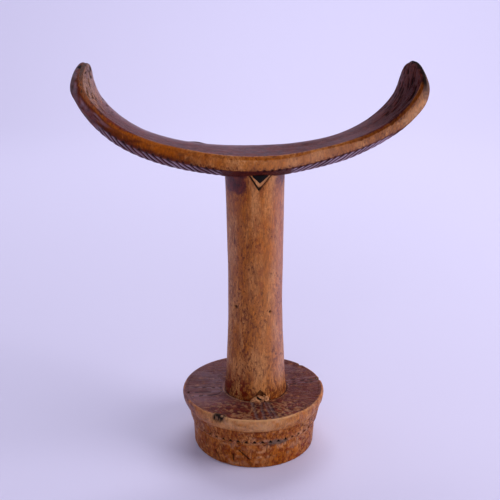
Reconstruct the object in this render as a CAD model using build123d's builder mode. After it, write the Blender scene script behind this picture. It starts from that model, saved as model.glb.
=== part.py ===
"""Carved wooden headrest: a drum base, a round column and a crescent neck cradle.

Frame: +Z up, +X along the cradle, -Y towards the decorated front. The origin is the centre of the
base's underside. All sizes are in millimetres.
"""

import os
from math import cos, radians, sin

from build123d import *

os.makedirs("parts", exist_ok=True)

# Driving dimensions of the three carved members
BASE_HEIGHT = 30.0
BASE_TOP_RADIUS = 37.5
BASE_FOOT_RADIUS = 31.6
COLUMN_FOOT_RADIUS = 16.5
COLUMN_WAIST_RADIUS = 13.8
COLUMN_TOP_RADIUS = 14.7
SADDLE_HEIGHT = 157.0  # lowest point of the surface that the neck lies on
CRADLE_THICKNESS = 11.0  # at the middle of the saddle
CRADLE_DEPTH = 37.0  # front to back, at the middle
TIP_RISE = 42.0  # tips above the lowest point of the saddle

# Joinery: a round tenon at each end of the column, and a shallow round seat under the cradle
TENON_RADIUS = 8.0
UPPER_TENON_LENGTH = 5.0
LOWER_TENON_LENGTH = 18.0
SEAT_DEPTH = 1.6
JOINT_CLEARANCE = 0.05  # glue line round a tenon, a column's end or an inlay
TENON_END_GAP = 0.4  # space left past the end of a tenon

# Triangles cut into the column, front and back
ORNAMENT_TURN = 4.0  # degrees that the ornament is turned from the cradle's own front
INLAY_DEPTH = 1.6
INLAY_SINK = 0.2  # how far the inlays lie below the column's surface
NECK_TRIANGLE_WIDTH = 6.8
NECK_TRIANGLE_HEIGHT = 3.4
NECK_OUTLINE_WIDTH = 9.8
NECK_OUTLINE_HEIGHT = 5.8
OUTLINE_GROOVE_DEPTH = 1.3
OUTLINE_GROOVE_WIDTH = 0.8  # measured across the top of the outline
FOOT_TRIANGLE_WIDTH = 11.0
FOOT_TRIANGLE_HEIGHT = 6.4
FILLER_HEIGHT = 2.4
FILLER_DIP_HEIGHT = 1.3  # between the filler's two lumps
FILLER_LEFT_HEIGHT = 1.9

underside_height = SADDLE_HEIGHT - CRADLE_THICKNESS
column_top_height = underside_height + SEAT_DEPTH
tip_height = SADDLE_HEIGHT + TIP_RISE


# Base: a drum that flares upwards in three bands, under a worn and rounded rim
RIM_HEIGHT = 7.6
MIDDLE_BAND_HEIGHT = 9.0
RIM_UNDERCUT = 2.4  # the rim's lower edge is this far inside its top edge
BAND_STEP = 0.5  # each band stands this far proud of the one below
FOOT_FLARE = 0.9
RIM_TOP_ROUNDING = 1.3
FOOT_ROUNDING = 1.4

# Radial cuts in the base's top face, in four groups
CUT_GROUPS = 4
CUT_ANGLES = (-5.5, 3.5, 9.5, 15.0)  # degrees, within each group
CUT_INNER_RADIUS = 19.5
CUT_OUTER_RADIUS = 35.6
CUT_WIDTH = 0.7
CUT_DEPTH = 0.4

middle_band_top = BASE_HEIGHT - RIM_HEIGHT
middle_band_bottom = middle_band_top - MIDDLE_BAND_HEIGHT
drum_radius = BASE_FOOT_RADIUS + FOOT_FLARE
rim_bottom_radius = BASE_TOP_RADIUS - RIM_UNDERCUT

with BuildPart() as base:
    with BuildSketch(Plane.XZ):
        with BuildLine():
            Polyline(
                (0, 0),
                (BASE_FOOT_RADIUS, 0),
                (drum_radius, middle_band_bottom - BAND_STEP),
                (drum_radius + BAND_STEP, middle_band_bottom),
                (rim_bottom_radius, middle_band_top),
                (rim_bottom_radius + BAND_STEP, middle_band_top + BAND_STEP),
                (BASE_TOP_RADIUS, BASE_HEIGHT - 2 * RIM_TOP_ROUNDING),
                (BASE_TOP_RADIUS, BASE_HEIGHT),
                (0, BASE_HEIGHT),
                close=True,
            )
        make_face()
    revolve(axis=Axis.Z)
    fillet(base.faces().sort_by(Axis.Z)[-1].edges(), RIM_TOP_ROUNDING)
    fillet(base.faces().sort_by(Axis.Z)[0].edges(), FOOT_ROUNDING)
    with Locations((0, 0, BASE_HEIGHT)):
        Hole(TENON_RADIUS + JOINT_CLEARANCE, LOWER_TENON_LENGTH + TENON_END_GAP)
    with BuildSketch(Plane.XY.offset(BASE_HEIGHT)):
        for turn in CUT_ANGLES:
            with PolarLocations((CUT_INNER_RADIUS + CUT_OUTER_RADIUS) / 2, CUT_GROUPS, start_angle=turn):
                Rectangle(CUT_OUTER_RADIUS - CUT_INNER_RADIUS, CUT_WIDTH)
    extrude(amount=-CUT_DEPTH, mode=Mode.SUBTRACT)
base.part.label = "base"


# Cradle: a crescent of many-sided sections, thinning towards upright, rounded tips. Each station of
# its right half gives X and height on the saddle curve, the curve's slope in degrees, and the
# section's depth, thickness and side height. Height is above the lowest point of the saddle.
TOP_EDGE_ROUNDING = 1.6
SECTION_ROUNDING = 0.8
BEVEL_WIDTH = 6.2
TIP_CORNER_HEIGHT = 8.0
TIP_END_HALF_DEPTH = 19.0
TIP_EDGE_ROUNDING = 1.2
MIDDLE_SIDE_HEIGHT = 7.8
stations = [
    (24.0, 1.3, 6.8, 34.6, 9.9, 7.5),
    (45.5, 5.7, 17.6, 32.8, 8.4, 6.2),
    (61.9, 13.3, 34.3, 33.3, 7.3, 5.0),
    (73.0, 24.8, 60.0, 34.8, 7.9, 4.8),
    (76.5, 34.2, 77.5, 35.6, 5.6, 4.0),
    (77.7, 44.0, 87.0, 35.6, 3.4, 2.6),
]
left_stations = [(-x, rise, -slope, *rest) for x, rise, slope, *rest in reversed(stations)]
middle_station = (0.0, 0.0, 0.0, CRADLE_DEPTH, CRADLE_THICKNESS, MIDDLE_SIDE_HEIGHT)

with BuildPart() as cradle:
    for x, rise, slope, depth, thickness, side_height in [*left_stations, middle_station, *stations]:
        along = (cos(radians(slope)), 0, sin(radians(slope)))
        across = Plane((x, 0, SADDLE_HEIGHT + rise), x_dir=(0, 1, 0), z_dir=along)
        with BuildSketch(across) as section:
            with BuildLine():
                Polyline(
                    (-depth / 2, 0),
                    (depth / 2, 0),
                    (depth / 2, -side_height),
                    (depth / 2 - BEVEL_WIDTH, -thickness),
                    (BEVEL_WIDTH - depth / 2, -thickness),
                    (-depth / 2, -side_height),
                    close=True,
                )
            make_face()
            fillet(section.vertices().group_by(Axis.Y)[-1], TOP_EDGE_ROUNDING)
            fillet(section.vertices().group_by(Axis.Y)[0], SECTION_ROUNDING)
    loft()
    with BuildSketch(Plane.YZ):
        with BuildLine():
            tip_arc = ThreePointArc(
                (-TIP_END_HALF_DEPTH, tip_height - TIP_CORNER_HEIGHT),
                (0, tip_height),
                (TIP_END_HALF_DEPTH, tip_height - TIP_CORNER_HEIGHT),
            )
            Polyline(
                tip_arc @ 1,
                (TIP_END_HALF_DEPTH, 0),
                (-TIP_END_HALF_DEPTH, 0),
                tip_arc @ 0,
            )
        make_face()
    extrude(amount=2 * TIP_RISE, both=True, mode=Mode.INTERSECT)
    tip_faces = cradle.faces().filter_by(GeomType.CYLINDER)
    fillet(tip_faces.edges(), TIP_EDGE_ROUNDING)
    with Locations(Plane.XY.offset(underside_height).rotated((180, 0, 0))):
        CounterBoreHole(
            radius=TENON_RADIUS + JOINT_CLEARANCE,
            counter_bore_radius=COLUMN_TOP_RADIUS + JOINT_CLEARANCE,
            counter_bore_depth=SEAT_DEPTH,
            depth=SEAT_DEPTH + UPPER_TENON_LENGTH + TENON_END_GAP,
        )
cradle.part.label = "cradle"


# Column: slightly waisted and swelling to its foot, with recesses for the inlays, front and back
UPPER_SWELL_HEIGHT = 130.0
UPPER_SWELL_RADIUS = 14.3
WAIST_HEIGHT = 100.0
LOWER_SWELL_HEIGHT = 51.0
LOWER_SWELL_RADIUS = 14.7
RECESS_REACH = 6.0  # how far a recess's cut runs outwards from its floor
SEAM_RISE = 0.6  # the cradle's lower edge at the column's front, above its underside
ornament_top = underside_height + SEAM_RISE
faces = {
    "front": Plane.XZ.rotated((0, 0, ORNAMENT_TURN)),
    "back": Plane.XZ.rotated((0, 0, ORNAMENT_TURN + 180)),
}


def hanging_triangle(width, height, mode=Mode.ADD):
    """A triangle that points down from the underside of the cradle."""
    Polygon(
        (-width / 2, ornament_top),
        (width / 2, ornament_top),
        (0, ornament_top - height),
        align=None,
        mode=mode,
    )


inner_scale = 1 - 2 * OUTLINE_GROOVE_WIDTH / NECK_OUTLINE_WIDTH

with BuildPart() as column:
    with BuildSketch(Plane.XZ):
        with BuildLine():
            profile = Spline(
                (COLUMN_FOOT_RADIUS, BASE_HEIGHT),
                (LOWER_SWELL_RADIUS, LOWER_SWELL_HEIGHT),
                (COLUMN_WAIST_RADIUS, WAIST_HEIGHT),
                (UPPER_SWELL_RADIUS, UPPER_SWELL_HEIGHT),
                (COLUMN_TOP_RADIUS, column_top_height),
            )
            Polyline(profile @ 1, (0, column_top_height), (0, BASE_HEIGHT), profile @ 0)
        make_face()
    revolve(axis=Axis.Z)
    with BuildSketch(Plane.XY.offset(BASE_HEIGHT - LOWER_TENON_LENGTH)):
        Circle(TENON_RADIUS)
    extrude(amount=LOWER_TENON_LENGTH)
    with BuildSketch(Plane.XY.offset(column_top_height)):
        Circle(TENON_RADIUS)
    extrude(amount=UPPER_TENON_LENGTH)
    for face in faces.values():
        with BuildSketch(face.offset(COLUMN_TOP_RADIUS - OUTLINE_GROOVE_DEPTH)):
            hanging_triangle(NECK_OUTLINE_WIDTH, NECK_OUTLINE_HEIGHT)
            hanging_triangle(
                NECK_OUTLINE_WIDTH * inner_scale, NECK_OUTLINE_HEIGHT * inner_scale, Mode.SUBTRACT
            )
        with BuildSketch(face.offset(COLUMN_TOP_RADIUS - INLAY_DEPTH)):
            hanging_triangle(NECK_TRIANGLE_WIDTH, NECK_TRIANGLE_HEIGHT)
        with BuildSketch(face.offset(COLUMN_FOOT_RADIUS - INLAY_DEPTH)):
            Polygon(
                (-FOOT_TRIANGLE_WIDTH / 2, BASE_HEIGHT),
                (FOOT_TRIANGLE_WIDTH / 2, BASE_HEIGHT),
                (0, BASE_HEIGHT + FOOT_TRIANGLE_HEIGHT),
                align=None,
            )
    extrude(amount=RECESS_REACH, mode=Mode.SUBTRACT)
column.part.label = "column"


# Neck inlays: dark triangles let in flush with the column, just under the cradle
neck_inlays = []
for side, face in faces.items():
    with BuildPart() as neck_inlay:
        with BuildSketch(face.offset(COLUMN_TOP_RADIUS - INLAY_DEPTH)):
            hanging_triangle(NECK_TRIANGLE_WIDTH, NECK_TRIANGLE_HEIGHT)
            offset(amount=-JOINT_CLEARANCE)
        extrude(amount=INLAY_DEPTH)
        with BuildSketch(Plane.XY.offset(ornament_top - NECK_TRIANGLE_HEIGHT)):
            Circle(COLUMN_TOP_RADIUS - INLAY_SINK)
        extrude(amount=NECK_TRIANGLE_HEIGHT, mode=Mode.INTERSECT)
    neck_inlay.part.label = f"neck_inlay_{side}"
    neck_inlays.append(neck_inlay)


# Foot filler: a broken strip of pale wood left along the bottom of the front foot recess
with BuildPart() as foot_filler:
    with BuildSketch(faces["front"].offset(COLUMN_FOOT_RADIUS - INLAY_DEPTH)):
        filler_half_width = FOOT_TRIANGLE_WIDTH / 2 - 2 * JOINT_CLEARANCE
        filler_slope = FOOT_TRIANGLE_WIDTH / 2 / FOOT_TRIANGLE_HEIGHT
        Polygon(
            (-filler_half_width, BASE_HEIGHT),
            (filler_half_width, BASE_HEIGHT),
            (filler_half_width - FILLER_HEIGHT * filler_slope, BASE_HEIGHT + FILLER_HEIGHT),
            (filler_half_width / 8, BASE_HEIGHT + FILLER_DIP_HEIGHT),
            (-filler_half_width / 2, BASE_HEIGHT + FILLER_LEFT_HEIGHT),
            align=None,
        )
        offset(amount=-JOINT_CLEARANCE)
    extrude(amount=INLAY_DEPTH)
    with BuildSketch(Plane.XY.offset(BASE_HEIGHT)):
        Circle(COLUMN_FOOT_RADIUS)
    extrude(amount=FILLER_HEIGHT, mode=Mode.INTERSECT)
foot_filler.part.label = "foot_filler"


for piece in (base, column, cradle, *neck_inlays, foot_filler):
    export_step(piece.part, f"parts/{piece.part.label}.step")
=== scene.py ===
"""Looks of a carved wooden headrest: carved and worn meshes, wood materials, studio, camera.

Shapes are worked out in millimetres in the CAD model's frame: +Z up, +X along the cradle, -Y to the
front, origin at the centre of the base's underside. They are turned into metres as each mesh is made.
Angles round the column and base are in degrees from the front, positive towards +X. A mark is a value
at each point of a mesh, mostly 0 to 1, that says where the wood is stained, cut or worn, or where shade,
highlights or sheen are painted on it.
"""

import bpy
import numpy as np
from mathutils import Matrix, Vector


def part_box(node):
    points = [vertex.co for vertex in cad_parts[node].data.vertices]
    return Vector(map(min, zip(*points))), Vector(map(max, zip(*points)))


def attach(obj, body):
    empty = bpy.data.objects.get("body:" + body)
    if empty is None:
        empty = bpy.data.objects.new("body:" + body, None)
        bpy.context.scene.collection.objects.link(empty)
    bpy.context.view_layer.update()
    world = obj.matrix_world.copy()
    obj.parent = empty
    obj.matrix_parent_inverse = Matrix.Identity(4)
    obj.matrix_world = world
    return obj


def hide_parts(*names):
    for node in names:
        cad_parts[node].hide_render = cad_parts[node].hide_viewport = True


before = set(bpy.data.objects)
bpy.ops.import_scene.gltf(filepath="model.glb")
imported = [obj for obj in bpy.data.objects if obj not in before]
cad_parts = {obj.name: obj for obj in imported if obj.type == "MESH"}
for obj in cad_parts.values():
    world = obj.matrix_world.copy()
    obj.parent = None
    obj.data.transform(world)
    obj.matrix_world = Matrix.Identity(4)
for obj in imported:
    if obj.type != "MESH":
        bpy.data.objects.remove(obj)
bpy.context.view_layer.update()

MM = 0.001
RANDOM_SEED = 11

BASE_RADIUS, _, BASE_TOP = np.array(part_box("base")[1]) / MM
ORNAMENT_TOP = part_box("neck_inlay_front")[1][2] / MM
TENON_BOTTOM, TENON_TOP = (corner[2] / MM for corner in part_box("column"))
CRADLE_THICKNESS = 11
TIP_RISE = 42
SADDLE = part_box("cradle")[1][2] / MM - TIP_RISE
SEAT_TOP = SADDLE - CRADLE_THICKNESS + 1.6  # the cradle is seated 1.6 over the column's top
SEAT_RADIUS = 13.6
TENON_RADIUS = 8
TENON_ROOM = 0.4  # above and below the tenons


# ---- Numbers: smooth steps, smooth curves and repeatable noise ----

LATTICE = np.random.default_rng(RANDOM_SEED).uniform(-1, 1, 8192)
LATTICE_KEYS = np.array([73856093, 19349663, 83492791])


def noise(points, cell, seed):
    """Smooth random values from -1 to 1 at points (n, 3), in blobs of the size of a cell."""
    scaled = points / np.array(cell) + 31.7 * (seed + 1)
    low = np.floor(scaled).astype(np.int64)
    part = scaled - low
    part = part * part * (3 - 2 * part)
    total = np.zeros(len(scaled))
    for corner in np.ndindex(2, 2, 2):
        weight = np.prod(np.where(corner, part, 1 - part), axis=1)
        key = (low + corner) @ LATTICE_KEYS
        total += weight * LATTICE[key % len(LATTICE)]
    return total


def step(low, high, value):
    """0 below low, 1 above high, smooth between."""
    part = np.clip((value - low) / (high - low), 0, 1)
    return part * part * (3 - 2 * part)


def bump(value, centre, half_width):
    """1 at the centre, falling smoothly to 0 a half-width away."""
    return step(1, 0, np.abs(value - centre) / half_width)


def spots(low, high, points, cell, seed):
    """Random spots: 0 where the noise is below low, 1 where it is above high."""
    return step(low, high, noise(points, cell, seed))


def highest(*layers):
    """The highest of several values at each point."""
    return np.maximum.reduce(np.broadcast_arrays(*layers))


def points_at(x, y=0, z=0):
    """Points from their coordinates, each an array or one number."""
    return np.stack(np.broadcast_arrays(x, y, z), axis=-1)


def round_points(radius, turn, height):
    """Points round the upright axis, from their distance, angle and height."""
    angle = np.radians(turn)
    return points_at(radius * np.sin(angle), -radius * np.cos(angle), height)


def natural_spline(knots, values):
    """A smooth function of one number, with the given values at the knots."""
    values = np.array(values)
    gaps = np.diff(knots)
    turns = np.diff(np.diff(values) / gaps)
    matrix = np.eye(len(knots))
    for i in range(1, len(gaps)):
        matrix[i, i - 1 : i + 2] = gaps[i - 1], 2 * (gaps[i - 1] + gaps[i]), gaps[i]
    bends = np.linalg.solve(matrix, [0, *6 * turns, 0])

    def at(x):
        i = np.clip(np.searchsorted(knots, x) - 1, 0, len(gaps) - 1)
        gap = gaps[i]
        total = 0
        for end, off in ((i, knots[i + 1] - x), (i + 1, x - knots[i])):
            total = total + values[end] * off / gap + bends[end] * (off**3 / gap - off * gap) / 6
        return total

    return at


def spaced(*stretches):
    """Positions along a line from (start, end, gap) stretches, each divided evenly."""
    counts = [round(abs(end - start) / gap) for start, end, gap in stretches]
    parts = [np.linspace(start, end, n, endpoint=False) for (start, end, _), n in zip(stretches, counts)]
    return np.concatenate([*parts, [stretches[-1][1]]])


def line_distance(x, y, start, end):
    """Distance from a short straight line."""
    run = np.subtract(end, start)
    part = np.clip(((x - start[0]) * run[0] + (y - start[1]) * run[1]) / (run @ run), 0, 1)
    return np.hypot(x - start[0] - part * run[0], y - start[1] - part * run[1])


# ---- Meshes ----


def grid_quads(rows, columns, wrap=False):
    """Quads over vertices numbered row by row; with wrap, the last column joins the first."""
    index = np.arange(rows * columns).reshape(rows, columns)
    if wrap:
        index = np.concatenate([index, index[:, :1]], axis=1)
    corners = (index[:-1, :-1], index[1:, :-1], index[1:, 1:], index[:-1, 1:])
    return np.stack([c.ravel() for c in corners], axis=1)


def grid_border(rows, columns):
    """The vertex numbers round a grid's border."""
    index = np.arange(rows * columns).reshape(rows, columns)
    return np.concatenate([index[:, 0], index[-1, 1:], index[-2::-1, -1], index[0, -2:0:-1]])


def two_sheets(rows, columns, wall_rings):
    """Faces of an upper and a lower grid, joined round their borders through wall rings."""
    quads = grid_quads(rows, columns)
    border = grid_border(rows, columns)
    walls = []
    upper = border
    for lower in (*wall_rings, border + rows * columns):
        walls.append(np.stack([upper, lower, np.roll(lower, -1), np.roll(upper, -1)], axis=1))
        upper = lower
    return np.concatenate([quads, quads[:, ::-1] + rows * columns, *walls])


def joined(*parts):
    """Points and marks of a mesh from its parts in order, each (points, marks). A missing mark is 0."""
    names = dict.fromkeys(name for _, marks in parts for name in marks)
    marks = {}
    for name in names:
        marks[name] = np.concatenate([np.broadcast_to(own.get(name, 0), len(at)) for at, own in parts])
    return np.concatenate([at for at, _ in parts]), marks


def new_mesh_object(name, points, faces, material):
    """A smooth mesh object from points in metres."""
    mesh = bpy.data.meshes.new(name)
    mesh.from_pydata(points, [], faces)
    mesh.validate()
    mesh.polygons.foreach_set("use_smooth", [True] * len(mesh.polygons))
    mesh.materials.append(material)
    item = bpy.data.objects.new(name, mesh)
    bpy.context.scene.collection.objects.link(item)
    return item


def make_piece(name, points, faces, marks, material, replaces):
    """A piece from points in millimetres, with its marks as attributes, standing for a CAD node."""
    metres = (np.asarray(points) * MM).tolist()
    piece = new_mesh_object(name, metres, [list(map(int, f)) for f in faces], material)
    for mark, values in marks.items():
        layer = piece.data.attributes.new(mark, "FLOAT", "POINT")
        layer.data.foreach_set("value", np.asarray(values, np.float32))
    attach(piece, "root")
    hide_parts(replaces)


def make_round_piece(name, parts, columns, replaces):
    """A wooden piece from rings of points, with a cap at each end."""
    points, marks = joined(*parts)
    rings = len(points) // columns
    first = np.arange(columns)
    quads = grid_quads(rings, columns, wrap=True)[:, ::-1]
    faces = [*quads, first[::-1], first + (rings - 1) * columns]
    make_piece(name, points, faces, marks, wood, replaces)


# ---- Materials ----


class Nodes:
    """Builds one material's nodes. A method that makes a node returns its output."""

    def __init__(self, name):
        self.material = bpy.data.materials.new(name)
        self.material.use_nodes = True
        self.tree = self.material.node_tree
        self.shader_inputs = self.tree.nodes["Principled BSDF"].inputs
        place = self.node("TexCoord", "Object", {}, {})
        self.place = self.vector("MULTIPLY", place, (1 / MM, 1 / MM, 1 / MM))

    def fill(self, sockets, values):
        """Gives each socket, by name or number, its value or a link."""
        for key, value in values.items():
            if isinstance(value, bpy.types.NodeSocket):
                self.tree.links.new(value, sockets[key])
            else:
                sockets[key].default_value = value

    def node(self, kind, output, settings, values):
        node = self.tree.nodes.new("ShaderNode" + kind)
        for setting, value in settings.items():
            setattr(node, setting, value)
        self.fill(node.inputs, values)
        return node.outputs[output]

    def math(self, operation, first, second, clamp=False):
        return self.node("Math", 0, {"operation": operation, "use_clamp": clamp}, {0: first, 1: second})

    def plus(self, first, second, clamp=False):
        return self.math("ADD", first, second, clamp)

    def times(self, first, second):
        return self.math("MULTIPLY", first, second)

    def vector(self, operation, first, second):
        return self.node("VectorMath", 0, {"operation": operation}, {0: first, 1: second})

    def mark(self, name):
        return self.node("Attribute", "Fac", {"attribute_name": name}, {})

    def cloud(self, cell, detail=2, roughness=0.5, shift=0):
        """Noise from 0 to 1 whose blobs measure cell, given along X, Y and Z in millimetres."""
        scaled = self.vector("MULTIPLY", self.place, tuple(1 / size for size in cell))
        place = self.vector("ADD", scaled, (shift, shift * 0.7, shift * 1.3))
        values = {"Scale": 1, "Detail": detail, "Roughness": roughness, "Vector": place}
        return self.node("TexNoise", "Fac", {}, values)

    def ramp(self, value, low, high):
        """0 below low and 1 above high, smooth between."""
        values = {"Value": value, "From Min": low, "From Max": high}
        return self.node("MapRange", "Result", {"interpolation_type": "SMOOTHSTEP"}, values)

    def mix(self, amount, first, second):
        values = {"Factor": amount, "A": first, "B": second}
        return self.node("Mix", "Result", {"data_type": "RGBA"}, values)

    def layer(self, body, tint, amount, strength):
        """A colour laid over a body, by an amount times a strength."""
        return self.mix(self.times(amount, strength), body, tint)

    def finished(self, body, roughness, specular, height, depth, strength):
        """The material, once its shader has its inputs; depth is the relief's, in metres."""
        normal = self.node("Bump", "Normal", {}, {"Height": height, "Distance": depth, "Strength": strength})
        self.fill(self.shader_inputs, {"Base Color": body, "Roughness": roughness, "Normal": normal})
        self.fill(self.shader_inputs, {"Specular IOR Level": specular})
        return self.material


def colour(red, green, blue):
    """A colour given as the eye sees it, 0 to 255, as the shader's linear values."""
    linear = [((c / 255 + 0.055) / 1.055) ** 2.4 if c > 10 else c / 255 / 12.92 for c in (red, green, blue)]
    return (*linear, 1)


WOOD_TAN = colour(192, 128, 72)
WOOD_ORANGE = colour(172, 96, 24)
WOOD_BROWN = colour(134, 70, 28)
WOOD_RED = colour(96, 34, 12)
PATCH_RED = colour(112, 32, 6)
AGED_WOOD = colour(80, 28, 0)
ORANGE_LINE = colour(154, 76, 0)
DARK_STAIN = colour(56, 18, 24)
DARK_STAIN_RED = colour(112, 42, 28)
STAIN_MEAN = colour(84, 36, 32)
CUT_DARK = colour(14, 8, 8)
# Pale worn wood, also used for painted highlights
PALE_WOOD_AND_HIGHLIGHT = colour(216, 164, 112)
GREY_WEAR = colour(92, 82, 74)
# Lilac dust, also used for painted sheen
LILAC_DUST_AND_SHEEN = colour(190, 166, 182)
# Painted shade on the cradle's underside and on the right arm's inner face
PAINTED_SHADE_MAROON = colour(60, 0, 10)
RAW_WOOD = colour(214, 148, 96)
RAW_WOOD_DARK = colour(146, 96, 54)
FILLING_BLACK = colour(6, 6, 6)
FILLING_BROWN = colour(22, 16, 14)
PAPER = colour(222, 219, 242)


def plain_wood(n, mottle):
    """Tan to orange wood, with brown mottles and streaks along the upright grain."""
    broad = n.cloud((8, 8, 30), detail=3, roughness=0.6)
    streaks = n.cloud((1, 1, 12), detail=3, shift=5)
    body = n.mix(n.ramp(broad, 0.36, 0.64), WOOD_ORANGE, WOOD_TAN)
    body = n.layer(body, WOOD_BROWN, n.ramp(mottle, 0.42, 0.66), 0.7)
    body = n.layer(body, WOOD_BROWN, n.ramp(streaks, 0.5, 0.75), 0.35)
    return n.layer(body, AGED_WOOD, n.mark("aged"), n.ramp(mottle, 0.25, 0.45))


def red_specks(n):
    """Small dark red specks, in clusters and where the wood is marked red."""
    speck_noise = n.cloud((1, 1, 2.1), detail=5, roughness=0.68, shift=17)
    clusters = n.cloud((8, 8, 14), detail=2, shift=23)
    density = n.times(n.plus(n.mark("red"), n.math("SUBTRACT", clusters, 0.5)), 0.27)
    return n.ramp(n.plus(speck_noise, density), 0.6, 0.67)


def stained(n, body):
    """The body under a ragged dark stain, violet to red, or even where marked so, and deep maroon where
    painted shade is marked.
    """
    ragged = n.cloud((3.6, 3.6, 3.6), detail=7, roughness=0.72, shift=41)
    ragged = n.times(n.math("SUBTRACT", ragged, 0.5), 2.2)
    stain = n.ramp(n.plus(n.mark("stain"), ragged), 0.2, 0.8)
    redness = n.cloud((3, 3, 3), detail=6, roughness=0.7, shift=47)
    tint = n.mix(n.ramp(redness, 0.33, 0.67), DARK_STAIN, DARK_STAIN_RED)
    tint = n.mix(n.mark("calm"), tint, STAIN_MEAN)
    tint = n.mix(n.mark("painted_shade"), tint, PAINTED_SHADE_MAROON)
    return n.layer(body, tint, stain, 0.96)


def carved_wood(name):
    """Oiled, handled wood, stained, cut, worn and dusty where the mesh is marked so, with painted shade,
    highlights and sheen where it is marked for them.
    """
    n = Nodes(name)
    mottle = n.cloud((2.6, 2.6, 5.5), detail=5, roughness=0.65, shift=3)
    specks = red_specks(n)
    body = n.layer(plain_wood(n, mottle), WOOD_RED, specks, 0.8)
    body = n.layer(body, ORANGE_LINE, n.mark("orange"), 0.8)
    patches = n.cloud((3, 3, 3.4), detail=6, roughness=0.68, shift=29)
    patches = n.ramp(n.plus(patches, n.times(n.mark("patchy"), 0.07)), 0.54, 0.61)
    body = stained(n, n.layer(body, PATCH_RED, patches, n.mark("patchy")))

    fibres = n.cloud((0.35, 0.35, 2.6), detail=3, roughness=0.6, shift=9)
    grain = n.plus(n.cloud((0.8, 0.8, 1.3), detail=5, roughness=0.75, shift=61), fibres)
    brightness = n.plus(n.times(grain, 1.5), -0.5)
    body = n.node("HueSaturation", "Color", {}, {"Value": brightness, "Color": body})
    pores = n.ramp(n.cloud((0.55, 0.55, 3.2), detail=2, shift=67), 0.56, 0.64)
    pores = n.times(pores, n.mark("pores"))
    body = n.layer(body, CUT_DARK, pores, 0.8)
    # Pale marks worn wood and painted highlights; lilac marks dust and painted sheen
    for mark, tint in (("pale", PALE_WOOD_AND_HIGHLIGHT), ("lilac", LILAC_DUST_AND_SHEEN), ("grey", GREY_WEAR), ("cut", CUT_DARK)):
        body = n.mix(n.mark(mark), body, tint)

    rough = n.plus(n.times(n.cloud((4, 4, 8), detail=4, shift=53), 0.25), 0.27)
    rough = n.plus(rough, n.times(n.mark("matt"), 0.22))
    rough = n.plus(rough, n.times(n.mark("cut"), 0.3), clamp=True)
    relief = n.plus(n.times(n.plus(specks, pores), -0.5), n.times(grain, 0.45))
    relief = n.plus(relief, n.times(mottle, 0.8))
    return n.finished(body, rough, 0.08, relief, 0.0004, 0.8)


def black_filling(name):
    """Glossy black filling, slightly uneven."""
    n = Nodes(name)
    cloud = n.cloud((0.8, 0.8, 0.8), detail=3)
    body = n.mix(cloud, FILLING_BLACK, FILLING_BROWN)
    return n.finished(body, n.plus(n.times(cloud, 0.2), 0.45), 0.1, cloud, 0.0002, 0.5)


def raw_filler(name):
    """Pale broken wood with darker crevices."""
    n = Nodes(name)
    cloud = n.cloud((0.9, 0.9, 0.9), detail=4)
    body = n.mix(n.ramp(cloud, 0.3, 0.65), RAW_WOOD_DARK, RAW_WOOD)
    body = n.mix(n.mark("cut"), body, CUT_DARK)
    return n.finished(body, n.plus(n.times(cloud, 0.2), 0.5), 0.5, cloud, 0.0005, 0.8)


wood = carved_wood("carved_wood")
inlay_material = black_filling("black_filling")
filler_material = raw_filler("raw_filler")


# ---- Cradle: two sheets, upper and lower, joined by a wall along their shared outline ----

# Sections of one arm, from the middle to the tip
SECTION_X = [0, 24, 45.5, 61.9, 73, 76.5, 77.7]
SECTION_RISE = [0, 1.3, 5.7, 13.3, 24.8, 34.2, TIP_RISE]
SECTION_HALF_DEPTH = [18.5, 17.3, 16.4, 16.65, 17.4, 17.8, 17.8]
LEFT_THICKNESS = [CRADLE_THICKNESS, 10.8, 10.1, 8.9, 7.3, 7.1, 8.8]
RIGHT_THICKNESS = [CRADLE_THICKNESS, 10.3, 9.2, 8.2, 7.7, 4.7, 4.2]
LEFT_SIDE = [7, 6.9, 5.9, 5.3, 5.4, 5.8, 4.4]  # height of the wall at the border
RIGHT_SIDE = [7, 6.3, 5.4, 5.8, 6.4, 3.8, 1.8]
# Pairs by side, -1 for the left arm and 1 for the right one
TIP_CUT = {-1: 0.5, 1: 0.7}  # each tip is worn down
TIP_FRONT_CUT = {-1: 1.2, 1: 0.6}  # the front corner of each tip is worn further back
TIP_LEAN = {-1: 1.6, 1: 1.5}  # how far the last stretch of each arm bends inwards
TIP_FALL = {-1: 4.2, 1: 3}  # how far the outer face of each tip stays below the inner one
FRONT_LIFT = {-1: 1, 1: 1.6}  # the front border rises above the back one along each arm
FRONT_TWIST = {-1: 1.4, 1: 1.3}  # how far the front corner of each tip turns outwards
TIP_ROUNDING = 11.5  # length of the rounded end, along the arm
TIP_CORNER_ANGLE = 50  # where the grid's corner lies on the rounded end
TIP_END = 99  # arc length past the very tip, where bends and falls are complete
TIP_ROWS = 26
ARM_ROWS = 225
WALL_ROWS = 11
BEVEL = 6.2
TOP_EDGE = 1.5  # rounding of the upper sheet's border
WALL_SWELL = 0.7
LEFT_SHIFT = 1.2  # both arms stand a little to the left at their tips
BACK_ROLL = 1.3  # the seat rolls down towards its back border
HATCH_PITCH = 3.3
HATCH_LEAN = 1.2
HATCH_START = 15
HATCH_END = 74
HATCH_DEEP = 10  # how far in from the border the slots reach
NICK_START = -3  # the nicks carry on over the column on the right
NICK_LEAN = 0.3

section_arc = np.concatenate([[0], np.cumsum(np.hypot(np.diff(SECTION_X), np.diff(SECTION_RISE)))])
ARM_LENGTH = section_arc[-1]
STRAIGHT = ARM_LENGTH - TIP_ROUNDING  # arc length where the rounded end begins


def both_arms(left, right):
    """A smooth function along the whole cradle from each arm's values, middle to tip."""
    knots = np.concatenate([-section_arc[:0:-1], section_arc])
    return natural_spline(knots, [*left[:0:-1], *right])


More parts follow.
